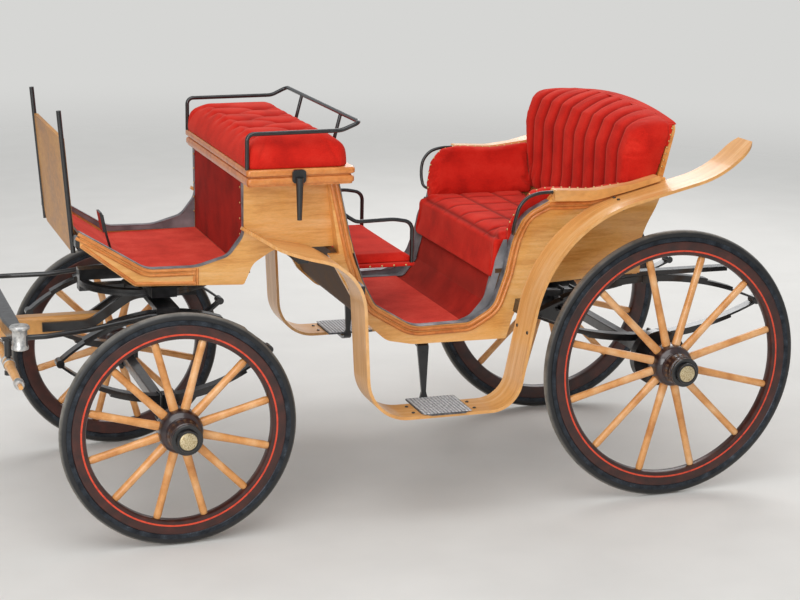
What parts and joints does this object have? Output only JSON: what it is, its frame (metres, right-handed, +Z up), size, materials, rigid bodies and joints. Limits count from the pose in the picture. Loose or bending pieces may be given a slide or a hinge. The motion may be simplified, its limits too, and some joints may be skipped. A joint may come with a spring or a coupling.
{
  "type": "four-wheeled horse-drawn carriage",
  "caption": "Open horse-drawn carriage with a raised driver's box, deep entrance, rear passenger seat, spoked wooden wheels, strip mudguards with steps and a draught pole.",
  "frame": {"origin": "on the ground below the middle of the overall length, pole included", "axes": "+X rearwards from the pole to the back, +Y to the carriage's right, +Z up"},
  "size_m": [5.308, 1.586, 1.6007],
  "materials": {
    "varnished_wood": "clear varnished honey-coloured wood",
    "dark_painted_wood": "dark brown painted wood",
    "red_upholstery": "red woven upholstery cloth",
    "black_iron": "gloss black painted wrought iron",
    "dark_red_paint": "dark red painted panel",
    "steel_tread": "patterned metal step tread",
    "solid_rubber": "solid black rubber tyre",
    "wheel_wood": "varnished spokes, maroon felloe and dark nave",
    "brass_cap": "worn brass hub cap"
  },
  "bodies": {
    "body": {"box_sides": "varnished_wood", "front_floor": "dark_painted_wood", "box_front_panel": "dark_red_paint", "box_rear_panel": "varnished_wood", "box_floor": "dark_painted_wood", "driver_seat_frame": "varnished_wood", "driver_cushion": "red_upholstery", "seat_rail": "black_iron", "seat_brackets": "black_iron", "dashboard": "varnished_wood", "dash_posts": "black_iron", "front_sills": "dark_painted_wood", "bolster": "dark_painted_wood", "upper_ring": "black_iron", "body_sides": "varnished_wood", "passenger_well": "dark_painted_wood", "seat_board": "dark_painted_wood", "passenger_cushion": "red_upholstery", "back_shell": "varnished_wood", "back_cushion": "red_upholstery", "arm_rails": "varnished_wood", "arm_handles": "black_iron", "child_seat": "varnished_wood", "child_cushion": "red_upholstery", "child_rails": "black_iron", "arm_pads": "red_upholstery", "side_posts": "varnished_wood", "brake_pedal": "black_iron", "fenders": "varnished_wood", "step_treads": "steel_tread", "step_stays": "black_iron", "fender_brackets": "black_iron", "rear_irons": "black_iron", "rear_springs": "black_iron", "rear_axle": "black_iron"},
    "forecarriage": {"forecarriage_bed": "dark_painted_wood", "lower_ring": "black_iron", "futchells": "black_iron", "splinter_bar": "varnished_wood", "swingletree_pins": "black_iron", "pole": "varnished_wood", "pole_head": "black_iron", "front_springs": "black_iron", "front_axle": "black_iron"},
    "left_swingletree_body": {"left_swingletree": "varnished_wood"},
    "right_swingletree_body": {"right_swingletree": "varnished_wood"},
    "front_left_wheel_body": {"front_left_tyre": "solid_rubber", "front_left_wheel": "wheel_wood", "front_left_hub_cap": "brass_cap"},
    "front_right_wheel_body": {"front_right_tyre": "solid_rubber", "front_right_wheel": "wheel_wood", "front_right_hub_cap": "brass_cap"},
    "rear_left_wheel_body": {"rear_left_tyre": "solid_rubber", "rear_left_wheel": "wheel_wood", "rear_left_hub_cap": "brass_cap", "rear_left_brake_drum": "black_iron"},
    "rear_right_wheel_body": {"rear_right_tyre": "solid_rubber", "rear_right_wheel": "wheel_wood", "rear_right_hub_cap": "brass_cap", "rear_right_brake_drum": "black_iron"}
  },
  "joints": [
    {"name": "steering", "type": "hinge", "parent": "body", "child": "forecarriage", "pos_m": [0.096, 0, 0.866], "axis": [0, 0, 1], "range_deg": [-75, 75]},
    {"name": "front_left_wheel_spin", "type": "hinge", "parent": "forecarriage", "child": "front_left_wheel_body", "pos_m": [0.096, -0.635, 0.446], "axis": [0, 1, 0], "continuous": true},
    {"name": "front_right_wheel_spin", "type": "hinge", "parent": "forecarriage", "child": "front_right_wheel_body", "pos_m": [0.096, 0.635, 0.446], "axis": [0, 1, 0], "continuous": true},
    {"name": "rear_left_wheel_spin", "type": "hinge", "parent": "body", "child": "rear_left_wheel_body", "pos_m": [2.104, -0.635, 0.55], "axis": [0, 1, 0], "continuous": true},
    {"name": "rear_right_wheel_spin", "type": "hinge", "parent": "body", "child": "rear_right_wheel_body", "pos_m": [2.104, 0.635, 0.55], "axis": [0, 1, 0], "continuous": true},
    {"name": "left_swingletree_pivot", "type": "hinge", "parent": "forecarriage", "child": "left_swingletree_body", "pos_m": [-0.491, -0.4, 0.68], "axis": [0, 0, 1], "range_deg": [-20, 20]},
    {"name": "right_swingletree_pivot", "type": "hinge", "parent": "forecarriage", "child": "right_swingletree_body", "pos_m": [-0.491, 0.4, 0.68], "axis": [0, 0, 1], "range_deg": [-20, 20]}
  ]
}
